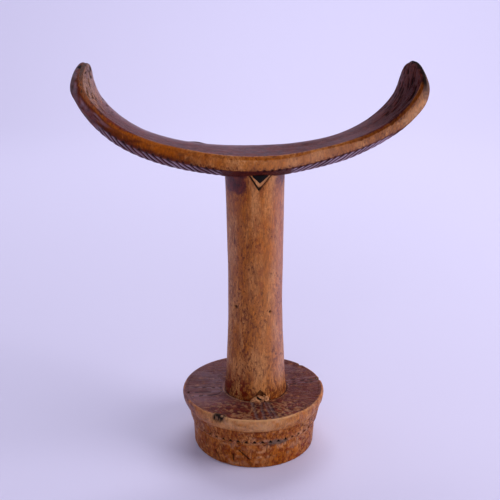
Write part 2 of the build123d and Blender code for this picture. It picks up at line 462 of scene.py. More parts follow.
saddle_x = both_arms([-x for x in SECTION_X], SECTION_X)
saddle_rise = both_arms(SECTION_RISE, SECTION_RISE)
half_depth = both_arms(SECTION_HALF_DEPTH, SECTION_HALF_DEPTH)
thickness = both_arms(LEFT_THICKNESS, RIGHT_THICKNESS)
side_height = both_arms(LEFT_SIDE, RIGHT_SIDE)


def worn_back(arc, across):
    """The arc length once each tip, and more so its front corner, has been worn back."""
    to_front = np.clip(0.15 - across / half_depth(arc), 0, 1.15) ** 1.3
    whole = np.where(arc < 0, TIP_CUT[-1], TIP_CUT[1])
    front = np.where(arc < 0, TIP_FRONT_CUT[-1], TIP_FRONT_CUT[1])
    return arc - np.sign(arc) * (whole + front * to_front) * step(ARM_LENGTH - 20, ARM_LENGTH, np.abs(arc))


def on_cradle(arc, across, depth):
    """The point a depth below the saddle curve, at an arc length from the middle and a distance across."""
    arc = worn_back(arc, across)
    for side, fall in TIP_FALL.items():
        rounded = (np.maximum(depth, 0) / CRADLE_THICKNESS) ** 1.5
        arc = arc - side * fall * step(80, TIP_END, side * arc) * rounded
    small = 0.05
    run = saddle_x(arc + small) - saddle_x(arc - small)
    rise = saddle_rise(arc + small) - saddle_rise(arc - small)
    length = np.hypot(run, rise)
    x = saddle_x(arc) + depth * rise / length
    z = saddle_rise(arc) - depth * run / length
    x = x - LEFT_SHIFT * (x / 80) ** 2
    to_front = np.maximum(-across, 0) / half_depth(arc)
    for side in (-1, 1):
        out = side * arc
        x = x - side * TIP_LEAN[side] * step(78, TIP_END, out)
        z = z + FRONT_LIFT[side] * step(5, 40, out) * step(92, 70, out) * to_front
        x = x + side * FRONT_TWIST[side] * step(75, 90, out) * np.minimum(to_front, 1)
    return points_at(x, across, SADDLE + z)


def inset(arc, across):
    """Distance in from the cradle's outline, in the unrolled plan."""
    half = half_depth(arc)
    beyond = np.maximum(0, np.abs(arc) - STRAIGHT) / TIP_ROUNDING
    out = np.abs(across) / half
    radius = np.maximum(1e-6, np.hypot(beyond, out))
    slope = np.hypot(beyond / TIP_ROUNDING, out / half)
    in_tip = (1 - radius) * radius / np.maximum(1e-6, slope)
    return np.maximum(0, np.where(beyond > 0, in_tip, half - np.abs(across)))


def hatch(arc, inward):
    """Depth, 0 to 1, of the slanted slots on the lower bevel and the nicks along its border."""
    out = np.abs(arc)
    wander = 0.25 * np.sin(out * 0.9) + 0.2 * np.sin(out * 0.37 + 1)

    def off_middle(lean, shift):
        """How far from the middle of the nearest cut, as a part of the pitch."""
        phase = (out + lean * inward + wander) / HATCH_PITCH + shift
        return np.abs(phase - np.floor(phase) - 0.5)

    slot = np.clip(1.3 - off_middle(HATCH_LEAN, 0) / 0.36, 0, 1)
    slot *= step(0.3, 0.9, inward) * step(HATCH_DEEP, HATCH_DEEP - 2, inward)
    nick = np.clip(1.2 - off_middle(NICK_LEAN, 0.5) / 0.2, 0, 1) * step(1.7, 0.6, inward)
    nick *= 0.75 - 0.4 * step(8, 20, arc)
    nicked = step(NICK_START, NICK_START + 6, arc) + step(HATCH_START, HATCH_START + 2, -arc)
    fade = step(HATCH_END, HATCH_END - 7, out)
    return slot * step(HATCH_START, HATCH_START + 2, out) * fade, nick * nicked * fade


def cradle_plan():
    """The grid's points in the unrolled plan: arc length and distance across, row by row."""
    corner = np.radians(TIP_CORNER_ANGLE)
    rounded = STRAIGHT + TIP_ROUNDING * np.sin(np.linspace(0, np.pi / 2 - corner, TIP_ROWS))
    edge_arc = np.concatenate([np.linspace(0, STRAIGHT, ARM_ROWS - TIP_ROWS, endpoint=False), rounded])
    edge_arc = np.concatenate([-edge_arc[:0:-1], edge_arc])
    past = np.maximum(0, np.abs(edge_arc) - STRAIGHT) / TIP_ROUNDING
    edge_half = half_depth(edge_arc) * np.sqrt(1 - past**2)
    widest = SECTION_HALF_DEPTH[-1]
    fine = spaced((0, 1.2, 0.2), (1.2, 7.2, 0.36), (7.2, widest, 0.6)) / widest
    columns = np.concatenate([fine - 1, 1 - fine[-2::-1]])
    end = np.abs(edge_arc[-1])
    bulge = STRAIGHT + TIP_ROUNDING * np.sqrt(1 - (columns * np.sin(corner)) ** 2) - end
    blend = step(STRAIGHT - 14, end, np.abs(edge_arc)) ** 2
    arc = edge_arc[:, None] + np.sign(edge_arc)[:, None] * blend[:, None] * bulge
    wobble = 0.22 * noise(points_at(edge_arc), 7, 3)
    return arc, edge_half[:, None] * columns + wobble[:, None] * columns**3


def cradle_top(arc, across, inward):
    """Depth and marks of the upper sheet: uneven, with a rounded border, chips and open pores."""
    plan = points_at(arc, across)
    within = np.minimum(inward, TOP_EDGE)
    depth = TOP_EDGE - np.sqrt(TOP_EDGE**2 - (TOP_EDGE - within) ** 2)
    uneven = 0.22 * noise(plan, (11, 7, 1), 5) + 0.08 * noise(plan, (3.2, 2.4, 1), 6)
    depth += (0.1 + uneven) * step(0, 3, inward)
    rolled = np.clip((across - 5) / 13, 0, 1) ** 2 * (1 - 1.2 * bump(arc, 70, 32))
    depth += BACK_ROLL * rolled - 0.45 * step(0, 10, across)
    depth -= 0.9 * bump(arc, -74, 26) * step(2, 14, across)
    left_pores = step(0.32, 0.5, noise(plan, (1.8, 2.4, 1), 8) * step(60, 76, -arc))
    right_pores = step(0.24, 0.42, noise(plan, (3.4, 0.95, 1), 10) * step(52, 74, arc))
    pits = highest(left_pores, right_pores) * step(0.6, 2, inward)
    splinter = bump(arc, -27, 5.5) * step(3.2, 1.2, inward) * (across > 0)
    chips = spots(0.45, 0.8, plan, (1.7, 1.1, 1), 9) * step(1.6, 0.3, inward)
    depth += 0.5 * pits + 0.35 * chips - 0.55 * splinter * step(0.2, 0.9, inward)

    # The stain is worn through to orange wood along the front border
    at_front = step(-4, -10, across) * step(93, 87, arc) * step(96, 90, -arc)
    edge = inward + 0.4 * noise(plan, (2.2, 1.2, 1), 17) + 3 * (1 - at_front)
    edge = edge - 1.6 * step(76, 84, arc) * step(4, -6, across)
    edge = edge + 1.1 * step(20, 60, arc) + 1.5 * step(45, 70, -arc)
    # Painted shadow: the right tip's upper border, which lies in shade, is painted black
    painted_shadow_rim = step(0.9, 0.1, inward + 0.8 * noise(plan, (2, 2, 1), 18)) * step(86, 90, arc)
    split = 0.9 * splinter * step(0.9, 0.3, np.abs(inward - 2.2))
    # Lilac: dust, and painted sheen towards the seat's back border, most of it on the left arm
    dust_and_sheen = 0.24 * step(-8, 13, across) * step(25, -45, arc) + 0.12 * step(2, 14, across)
    dust_and_sheen = dust_and_sheen + 0.08 * step(76, 90, -arc) + 0.13 * bump(arc, 46, 26) + 0.05 * bump(arc, 0, 30)
    return depth, {
        "stain": step(0.9, 2.2, edge) * (1 - 0.8 * step(60, 92, -arc)),
        "cut": np.clip(highest(0.9 * pits + 0.3 * chips, split, 0.85 * painted_shadow_rim * (across < 3)), 0, 1),
        "red": 0.3,
        "grey": 0.36 * step(68, 90, -arc),
        "lilac": dust_and_sheen * step(1, 3, inward),
        # Painted shade: the right arm's inner face, turned away from the key light, is made deep maroon
        "painted_shade": 0.95 * step(54, 70, arc) * step(96, 84, arc) * step(12, -6, across),
        "orange": bump(inward, 0.2, 1.1) * at_front * (0.4 + 0.6 * step(0, 40, -arc)),
        "aged": step(1.3, 0.6, inward) * (step(30, 60, -arc) + 0.8 * step(30, 60, arc)),
        "matt": step(0, 70, arc),
        "pores": 0.15 + 0.85 * step(50, 75, -arc) + 0.2 * step(50, 75, arc),
    }


def cradle_underside(arc, across, inward, slot, nick):
    """Depth before and after the carved cuts, and marks, of the lower sheet."""
    plan = points_at(arc, across)
    out = np.abs(arc)
    side = side_height(arc)
    part = inward / np.minimum(BEVEL, 0.42 * half_depth(arc))
    softened = np.where(part < 0.85, part, np.where(part < 1.15, 1 - (1.15 - part) ** 2 / 0.6, 1))
    plain_depth = side + (thickness(arc) - side) * softened
    plain_depth += 0.12 * noise(plan, (8, 6, 1), 13) * step(0, 2, inward)
    depth = plain_depth - 0.8 * slot * step(HATCH_DEEP, BEVEL - 1.5, inward) - 0.6 * nick

    # Crests between the slots get a painted lilac highlight, stronger on the right arm
    crest_highlight = step(HATCH_START, HATCH_START + 3, out) * step(HATCH_DEEP, HATCH_DEEP - 2, inward)
    crest_highlight *= step(0.6, 0.2, slot) * step(0.7, 1.4, inward)
    crest_highlight *= step(HATCH_END, HATCH_END - 8, out) * step(66, 56, arc)
    crest_highlight *= 0.8 + 0.3 * step(0, 20, arc) + 0.4 * noise(plan, (6, 6, 1), 19)
    return plain_depth, depth, {
        "stain": 0.9 - 0.6 * step(58, 70, arc) * step(5, 1, inward),
        "cut": np.clip(0.75 * slot + nick, 0, 1),
        "red": 0.2,
        "lilac": np.clip(0.9 * crest_highlight, 0, 1),
        # Painted shade: the underside round the column, under the cradle, is made deep maroon
        "painted_shade": 0.6 * step(30, 18, out),
        "matt": 0.5,
    }


def cradle_wall(arc, across, upper_depth, lower_depth, nick, outward, down):
    """Points and marks of the wall, slightly bulged; down is 0 at its upper border and 1 at its lower."""
    low_nick = nick * step(0.8, 1, down)
    depth = upper_depth * (1 - down) + lower_depth * down - 0.6 * low_nick
    rough = 0.1 * noise(points_at(arc, across, depth), (2.6, 2.6, 1.8), 15)
    swell = WALL_SWELL * (1 - (2 * down - 1) ** 2) + rough - 0.4 * low_nick
    moved = np.stack([arc, across], axis=1) + outward * swell[:, None]
    points = on_cradle(moved[:, 0], moved[:, 1], depth)

    stain = 0.5 * step(0.85, 1, down) * step(4, 18, np.abs(arc))
    stain += 0.75 * step(58, 84, -arc) * step(0.15, 0.5, down)
    right_tip = step(83, 88, arc + 4.5 * down)
    left_tip = step(88, 93, -arc) * step(0.25, 0.45, down)
    hole = step(2.4, 1.5, np.hypot(np.hypot(arc + 97.1, across + 6.8), 5 * (down - 0.1)))
    # Painted shadow: the upper part of the right tip's wall, in shade, is painted black
    painted_shadow_rim = 0.9 * step(86, 90, arc) * step(0.6, 0.3, down)
    flecks = spots(0.3, 0.6, points, (0.9, 0.9, 0.7), 20) * bump(arc, -4, 14)
    # Pale: flecks of worn wood, a paler right half, and painted highlights: a streak along the right arm's
    # wall near its tip, and glints
    pale = 0.14 * step(-25, 10, arc) + 0.4 * flecks * step(0.6, 0.2, down)
    pale += 0.35 * bump(arc, 76, 14) * step(0.15, 0.35, down)
    glints = spots(0.25, 0.6, points, (1.3, 1.3, 0.9), 64) * step(0.15, 0.3, down)
    pale += 0.3 * glints * step(52, 62, arc) * step(90, 82, arc)
    # Lilac: dust, and painted sheen on the left tip's wall and in streaks near it
    tip_dust_and_sheen = np.clip(0.18 + 0.22 * noise(points, (1.3, 1.3, 2), 65), 0, 1)
    dust_and_sheen = 0.06 * step(-12, 30, arc) + tip_dust_and_sheen * step(70, 86, -arc) * step(0.15, 0.5, down)
    streaks = spots(0.1, 0.6, points_at(arc, 8 * down), (5, 1.2, 1), 63)
    dust_and_sheen += 0.22 * streaks * bump(arc, -76, 14) * step(0.15, 0.35, down)
    orange = step(0.3, 0, down + 0.1 * step(60, 76, -arc)) * (0.15 + 0.85 * step(0, 50, -arc))
    spread = step(0.95, 0.5, down) * step(0, 40, -arc) * step(74, 56, -arc)
    uneven = np.clip(0.55 + 0.6 * noise(points, (3.5, 3.5, 1.6), 62), 0, 1)
    return points, {
        "stain": highest(stain, right_tip, left_tip),
        "cut": np.clip(highest(0.9 * low_nick, 1.3 * hole, painted_shadow_rim), 0, 1),
        "red": 0.45 * step(0.5, 0.95, down) + 0.3 * step(10, 60, -arc) + 0.3 * step(30, 60, arc),
        "pale": pale,
        "grey": 0.5 * step(82, 90, arc) + 0.3 * step(76, 90, -arc) * step(0.3, 0.6, down),
        "lilac": dust_and_sheen,
        "orange": highest(orange, spread * uneven),
        "aged": step(12, 44, -arc),
        "pores": 0.15 + 0.45 * step(30, 60, arc),
    }


def build_cradle():
    arc, across = cradle_plan()
    rows, columns = arc.shape
    arc, across = arc.ravel(), across.ravel()
    inward = inset(arc, across)
    slot, nick = hatch(arc, inward)
    slot *= 0.8 + 0.3 * noise(points_at(arc, across), (4, 4, 1), 12)
    upper_depth, upper_marks = cradle_top(arc, across, inward)
    plain_depth, lower_depth, lower_marks = cradle_underside(arc, across, inward, slot, nick)
    upper = on_cradle(arc, across, upper_depth)
    lower = on_cradle(arc, across, lower_depth)
    from_axis = np.hypot(lower[:, 0], lower[:, 1])
    lower[from_axis < SEAT_RADIUS, 2] = SEAT_TOP
    lower[from_axis < TENON_RADIUS, 2] = TENON_TOP + TENON_ROOM

    border = grid_border(rows, columns)
    edge = np.stack([arc, across], axis=1)[border]
    along = np.roll(edge, -1, axis=0) - np.roll(edge, 1, axis=0)
    along /= np.linalg.norm(along, axis=1)[:, None]
    outward = np.stack([along[:, 1], -along[:, 0]], axis=1)
    rings = WALL_ROWS - 1
    down = np.repeat(np.arange(1, WALL_ROWS) / WALL_ROWS, len(border))
    outward = np.tile(outward, (rings, 1))
    around_it = [np.tile(values[border], rings) for values in (arc, across, upper_depth, plain_depth, nick)]
    wall, wall_marks = cradle_wall(*around_it, outward, down)
    points, marks = joined((upper, upper_marks), (lower, lower_marks), (wall, wall_marks))
    wall_rings = 2 * rows * columns + np.arange(len(wall)).reshape(rings, -1)
    faces = two_sheets(rows, columns, wall_rings)
    make_piece("carved_cradle", points, faces, marks, wood, "cradle")


build_cradle()


# ---- Column: a round of rows from the lower tenon to the upper one ----

COLUMN_HEIGHTS = [0, 3.5, 9.4, 15, 21, 35, 63, 89, 102, 111, 118]  # above the base's top
COLUMN_RADII = [16.4, 16.1, 15.5, 15.2, 14.9, 14.25, 13.95, 14.3, 14.45, 14.65, 14.9]
COLUMN_TOP = SEAT_TOP - 0.3  # inside the cradle's seat
FOOT_LEAN = 1.2  # the column's axis lies to the right of the base's, more at the foot
FOOT_FORWARD = 1.5  # and the foot stands a little to the front
NECK_LEAN = 0.5
NECK_SKEW = 0.13  # the hanging triangle leans, its point to the left
ORNAMENT_TURN = 4.8
ORNAMENT_FRONT = 32  # degrees to each side of the front and back where points are close
ORNAMENT_HEIGHT = 8.5  # rows this near the column's ends are close too
NECK_INNER = (3.9, 3.6)  # half width at the top and height of the inlaid triangle
NECK_OUTER = (4.95, 6.2)
FOOT_TURN = 3.1
FOOT_RECESS = (5.6, 6.4)
WORM_HOLES = [(-49, 49.6, 1.1, 0.5), (27, 47.5, 0.9, 0.4)]  # angle, height, outer and inner radius
PALE_SCAR = (-65, 89, 1, 0.4)

column_radius = natural_spline(np.array(COLUMN_HEIGHTS) + BASE_TOP, COLUMN_RADII)


def axis_offset(height):
    """How far the column's axis stands from the base's; nothing inside the base and the cradle."""
    part = (height - BASE_TOP) / (SEAT_TOP - BASE_TOP)
    seen = (part >= 0) & (part <= 1)
    sideways = FOOT_LEAN + (NECK_LEAN - FOOT_LEAN) * part
    return points_at(np.where(seen, sideways, 0), np.where(seen, -FOOT_FORWARD * (1 - part), 0))


def around(turn, centre):
    """Angle from a centre, brought into -180 to 180 degrees."""
    return (turn - centre + 180) % 360 - 180


def on_side(turn, start, full):
    """0 at the front, rising to 1 on the side turned to +X and fading out again at the back."""
    return step(start, full, turn) * step(175, 120, turn)


def ornament_place(turn, height, centre, reference):
    """Distance round the column from an ornament's centre line, and height above a reference."""
    return np.radians(around(turn, centre)) * column_radius(height), height - reference


def groove_beside(sideways, down, half_width, tall, half_groove):
    """Depth, 0 to 1, of the V-shaped groove that outlines a hanging triangle."""
    off = np.abs(np.abs(sideways) / half_width + down / tall - 1) / np.hypot(1 / half_width, 1 / tall)
    return np.clip(1 - off / half_groove, 0, 1) * (down > -1) * (down < tall + 0.9)


def inside_triangle(sideways, away, half_width, tall):
    """Distance inside a triangle whose wide side is at 0 and whose point is tall away."""
    return (1 - np.abs(sideways) / half_width - away / tall) / np.hypot(1 / half_width, 1 / tall)


def column_ornaments(turn, height):
    """Carved depth, dark cuts and pale wood of the neck grooves and foot recesses."""
    depth = cut = pale = np.zeros(len(turn))
    for back in (0, 180):
        sideways, up = ornament_place(turn, height, ORNAMENT_TURN + back, ORNAMENT_TOP)
        sideways = sideways - NECK_SKEW * up
        groove = groove_beside(sideways, -up, *NECK_OUTER, 0.62) * (1 - 0.4 * step(0.6, 1.6, sideways))
        under_inlay = step(0.35, 0.7, inside_triangle(sideways, -up, *NECK_INNER))
        point = bump(np.hypot(sideways, up + NECK_OUTER[1] - 0.9), 0, 1.5)
        strip = step(0.3, 0.7, inside_triangle(sideways, -up, *NECK_OUTER))
        recess = inside_triangle(*ornament_place(turn, height, FOOT_TURN + back, BASE_TOP), *FOOT_RECESS)
        depth = depth + 0.6 * groove + 0.5 * under_inlay + 1.3 * step(0, 0.7, recess)
        cut = highest(cut, np.clip(1.5 * groove, 0, 1), 0.9 * point)
        cut = highest(cut, 0.55 * step(0.1, 0.8, recess), 0.95 * bump(recess, 0.15, 0.4))
        pale = highest(pale, 0.35 * strip * (up < 0.5))
    return depth, cut, pale


def column_surface(turn, height):
    """Carved depth and marks at points of the column, given by angle and height."""
    circle = round_points(15, turn, height)
    bearing = around(turn, 0)
    rise = height - BASE_TOP  # above the foot
    drop = ORNAMENT_TOP - height  # below the cradle

    def round_spot(centre, level, outer, inner):
        return step(outer, inner, np.hypot(around(turn, centre) * 0.25, rise - level))

    ornament_depth, ornament_cut, ornament_pale = column_ornaments(turn, height)
    worm = highest(*[round_spot(*hole) for hole in WORM_HOLES])
    depth = -0.22 * noise(circle, (9, 9, 22), 21) - 0.07 * noise(circle, (2.2, 2.2, 9), 22)
    depth += ornament_depth + 0.8 * worm

    foot_left = step(0, -22, bearing) * step(-120, -90, bearing) * step(21, 5, rise)
    neck_left = step(-8, -32, bearing) * step(-100, -60, bearing) * step(13, 5, drop)
    neck_right = bump(around(turn, 55), 0, 32) * step(9, 2, drop)
    # Painted shade: a band just under the cradle, on the column's sides, is stained dark
    shaded_neck_sides = step(5, 0, drop) * step(55, 80, np.abs(bearing))
    neck_patches = step(-5, -25, bearing) * step(18, 10, drop)
    # Painted highlight: paler wood over the lit front of the column
    lit_front = bump(around(turn, 16), 0, 55) * step(2, 12, rise) * step(100, 60, rise)
    # Painted lack of sheen: a strip down the middle of the column's front, between the reflections on its
    # sides, is made more orange and patchy red
    unreflected_stripe = bump(around(turn, 4), 0, 20) * step(28, 60, rise) * step(6, 30, drop)
    # Painted sheen: a lilac wash on the column's right side and, higher up, on its left
    sheen = 0.17 * on_side(bearing, 15, 55) + 0.08 * on_side(-bearing, 20, 60) * step(30, 80, rise)
    return depth, {
        "stain": highest(neck_left, 0.8 * neck_right, 0.6 * shaded_neck_sides),
        "cut": highest(ornament_cut, worm),
        "red": highest(0.6 * foot_left, 0.55 * step(14, 0, rise), 0.2 * step(90, 40, rise)),
        "pale": highest(ornament_pale, 0.15 * lit_front, round_spot(*PALE_SCAR)),
        "patchy": highest(foot_left, 0.55 * step(14, 2, rise), 0.5 * neck_patches, 0.45 * unreflected_stripe),
        "lilac": (0.02 + sheen) * step(2, 16, rise),
        "orange": 0.3 * unreflected_stripe,
        "pores": 0.3,
    }


def build_column():
    heights = spaced(
        (BASE_TOP, BASE_TOP + ORNAMENT_HEIGHT, 0.2),
        (BASE_TOP + ORNAMENT_HEIGHT, ORNAMENT_TOP - ORNAMENT_HEIGHT, 0.62),
        (ORNAMENT_TOP - ORNAMENT_HEIGHT, COLUMN_TOP, 0.2),
    )
    half_round = [(-ORNAMENT_FRONT, ORNAMENT_FRONT, 0.8), (ORNAMENT_FRONT, 180 - ORNAMENT_FRONT, 2.4)]
    turns = spaced(*half_round, *[(start + 180, end + 180, gap) for start, end, gap in half_round])[:-1]
    turn, height = (a.ravel() for a in np.meshgrid(turns, heights))
    depth, marks = column_surface(turn, height)
    body = round_points(column_radius(height) - depth, turn, height) + axis_offset(height)

    def tenon(low, high):
        ends = [round_points(TENON_RADIUS, turns, level) for level in (low, high)]
        return np.concatenate(ends), {}

    parts = [tenon(TENON_BOTTOM, BASE_TOP - 0.05), (body, marks), tenon(COLUMN_TOP, TENON_TOP)]
    make_round_piece("carved_column", parts, len(turns), "column")


build_column()


# ---- Base: a round of rows from the underside over the rim and down into the tenon's hole ----

SIDE_HEIGHTS = [0, 4.5, 9.3, 13.3]
SIDE_RADII = [32, 32.3, 32.5, 32.6]
BAND_HEIGHTS = [14.3, 15.5, 19, 22.2]
BAND_RADII = [33.4, 33.9, 34.6, 35.2]
RIM_HEIGHTS = [22.8, 25, 27, 28.7, 30]
RIM_RADII = [35.7, 36.8, 37.35, 37.5, 37.3]
RIM_ROUNDING = 1
FOOT_ROUNDING = 0.9
DRUM_SHIFT = 0.5  # the drum below the rim lies a little to the right
PUNCHES = 52
PUNCH_HEIGHT = 15.7
PUNCH_START = 2
HOLE_RADIUS = TENON_RADIUS + 0.05
# Cuts in the top, each from one end (x, y) to the other
FRONT_GROOVES = [
    ((-2.3, -19), (-0.7, -36)),
    ((2.2, -19), (2.7, -36)),
    ((4.2, -19), (7.1, -36)),
    ((5.9, -19), (9.4, -36)),
]
RIGHT_GROOVES = [((18.5, 4.3), (35.6, 7.5)), ((18.4, -0.8), (35.2, 2.2)), ((18.6, 1.9), (33, 4.9))]
LEFT_GROOVES = [((-17.3, -4.8), (-31, -5.2)), ((-17.6, -1.2), (-33.5, 0.6)), ((-18.4, -8), (-32, -9.6))]
TOP_SPOT = (-34.6, -4.9)
BEAD_RADIUS = 17.3  # of the low bead round the column's foot
# Cuts in the drum's side, each from one end (angle, height) to the other
SIDE_CUTS = [((-43.2, 6.8), (-39.1, 3.2)), ((-19, 10), (-9.7, 5.4)), ((-24, 7.2), (-24.3, 3.5))]
SIDE_DEGREE = np.radians(1) * 32  # length of one degree round the drum
# Dents in the rim: angle, height, width and height of each
RIM_DENTS = [(-33, 29.2, 5.4, 3.4), (67, 24, 2.2, 2.8), (98, 29, 2.4, 2), (128, 28.8, 2, 1.8)]


def base_profile(height):
    """The base's radius at a height: lower drum, middle band and rim."""
    drum = np.interp(height, SIDE_HEIGHTS, SIDE_RADII)
    band = np.interp(height, BAND_HEIGHTS, BAND_RADII)
    rim = np.interp(height, RIM_HEIGHTS, RIM_RADII)
    radius = drum + (band - drum) * step(13.5, 14.2, height)
    radius = radius + (rim - radius) * step(22.3, 22.9, height)
    foot = np.clip(FOOT_ROUNDING - height, 0, FOOT_ROUNDING)
    radius = radius - (FOOT_ROUNDING - np.sqrt(FOOT_ROUNDING**2 - foot**2))
    over = np.clip(height - (BASE_TOP - RIM_ROUNDING), 0, RIM_ROUNDING)
    return radius - (RIM_ROUNDING - np.sqrt(RIM_ROUNDING**2 - over**2))


def punched_row(turn, height):
    """Depth, 0 to 1, of the row of triangular punches, and height above the middle of the row."""
    pitch = 360 / PUNCHES
    nearest = np.round((turn - PUNCH_START) / pitch) * pitch + PUNCH_START
    sideways = np.abs(np.radians(turn - nearest) * 34)
    up = height - PUNCH_HEIGHT - 0.25 * noise(points_at(nearest), 3, 35)
    half_width = 1.35 * (1.15 - up) / 1.95
    return np.clip(np.minimum((half_width - sideways) / 0.2, (up + 0.85) / 0.25), 0, 1), up


def side_damage(turn, height, circle):
    """Carved depth, dark cuts and grey wear of the side's short cuts and the rim's dents."""
    bearing = around(turn, 0)
    depth = cut = grey = np.zeros(len(turn))
    for ends in SIDE_CUTS:
        start, end = np.array(ends) * (SIDE_DEGREE, 1)
        line = bump(line_distance(bearing * SIDE_DEGREE, height, start, end), 0, 0.55)
        depth = depth + 0.7 * line
        cut = highest(cut, 0.95 * line)
    for centre, level, wide, tall in RIM_DENTS:
        off = np.hypot(np.radians(around(turn, centre)) * 37 / wide, (height - level) / tall)
        dent = step(1, 0.45, off + 0.3 * noise(circle, (1, 1, 1.2), 37))
        depth = depth + 1.25 * dent
        cut = highest(cut, 0.95 * dent * spots(-0.3, 0.2, circle, (0.6, 0.6, 2.4), 38))
        grey = highest(grey, 0.55 * dent)
    return depth, cut, grey


def base_side(turn, height):
    """Carved depth, inwards, and marks on the base's side."""
    circle = round_points(35, turn, height)
    bearing = around(turn, 0)
    in_drum = step(13.9, 13.3, height)
    in_band = step(13.8, 14.3, height) * step(22.6, 22, height)
    in_rim = step(22.8, 24, height)
    above_band = step(22.6, 24, height)
    right = on_side(bearing, 20, 55)
    left = on_side(-bearing, 30, 80)

    pits = spots(0.42, 0.8, circle, (1.1, 1.1, 1.3), 33) * (in_band + 0.35 * in_drum)
    scratches = spots(0.5, 0.85, circle, (0.7, 0.7, 4.5), 34) * in_drum
    punch, up = punched_row(turn, height)
    # A shallow groove along the band's lower edge, painted dark as the shadow line under the band
    shadow_line_groove = bump(height, 13.75, 0.42) * spots(-0.25, 0.3, circle, (7, 7, 40), 36)
    under_rim = bump(height, 22.45, 0.45)
    damage_depth, damage_cut, damage_grey = side_damage(turn, height, circle)
    depth = -0.3 * noise(circle, (16, 16, 14), 31) - 0.1 * noise(circle, (3, 3, 4.5), 32)
    depth += 0.32 * pits + 0.2 * scratches + 0.95 * punch + 0.35 * shadow_line_groove + damage_depth

    smear = 1.7 * bump(height, 14.9 - 0.05 * around(turn, 10), 2.8) * bump(around(turn, 15), 0, 13)
    smear *= 1 + 0.9 * noise(circle, (2, 2, 1.2), 54)
    halo = bump(up, 0.2, 2.6) * spots(-0.3, 0.4, circle, (3.5, 3.5, 2.4), 59)
    dry = spots(-0.1, 0.5, circle, (1.9, 1.9, 1.5), 60) * spots(-0.5, 0.4, circle, (7, 7, 5), 61)
    red = 0.4 * in_band + 0.3 * in_drum + 0.35 * under_rim - 0.2 * halo + 0.1 * in_rim
    stain = in_band * (0.36 * left + 0.3 * right) + above_band * (0.55 * left + 0.12 * right)
    blotches = 0.2 * noise(circle, (9, 9, 4), 39) + 0.34 * noise(circle, (2, 2, 1.6), 56)
    worn_rim = np.clip(in_rim * (0.5 + blotches), 0, 1) * step(52, 10, np.abs(around(turn, -8)))
    # Painted highlight: a pale line along the rim's top edge, round the front
    rim_edge_highlight = bump(height, BASE_TOP - 0.1, 0.9) * spots(-0.6, 0.1, circle, (9, 9, 40), 40)
    rim_edge_highlight = rim_edge_highlight * step(80, 30, np.abs(around(turn, 8)))
    dry_wood = (0.16 - 0.08 * right) * dry * (in_drum + in_band)
    patchy = (0.6 + 0.3 * right) * in_drum + 0.48 * in_band * (1 - 0.45 * halo)
    return depth, {
        "stain": stain,
        "cut": highest(0.25 * pits + 0.35 * scratches, punch, 0.6 * shadow_line_groove, 0.25 * under_rim, damage_cut),
        "red": np.clip(red, 0, 1),
        "pale": highest(worn_rim, 0.18 * in_band * halo, 0.75 * rim_edge_highlight, dry_wood),
        "grey": highest(damage_grey, np.clip(smear, 0, 0.75)),
        # lilac: painted sheen on the rim, more on the left, and a little tint round the punches and on dry
        # wood
        "lilac": 0.08 * in_band * halo + 0.05 * dry + in_rim * (0.05 * right + 0.12 * left),
        "patchy": patchy * (1 - 0.5 * dry) + 0.18 * in_rim,
        "orange": (0.6 * in_drum + 0.3 * in_band) * (1 - dry) * (1 - right),
        "pores": 0.6 * in_rim,
    }


def top_grooves(x, y, lines):
    """Depth, 0 to 1, of a group of soft cuts in the base's top."""
    return highest(*[bump(line_distance(x, y, start, end), 0, 1.25) for start, end in lines])


def top_fibres(x, y):
    """Short pale fibres lying in three directions on the base's top."""
    fibres = np.zeros(len(x))
    for direction, seed in ((15, 48), (-40, 49), (70, 55)):
        bearing = np.radians(direction)
        along = x * np.cos(bearing) + y * np.sin(bearing)
        beside = y * np.cos(bearing) - x * np.sin(bearing)
        fibres += spots(0.35, 0.65, points_at(along, beside), (2.6, 0.75, 1), seed)
    return np.clip(fibres, 0, 1)


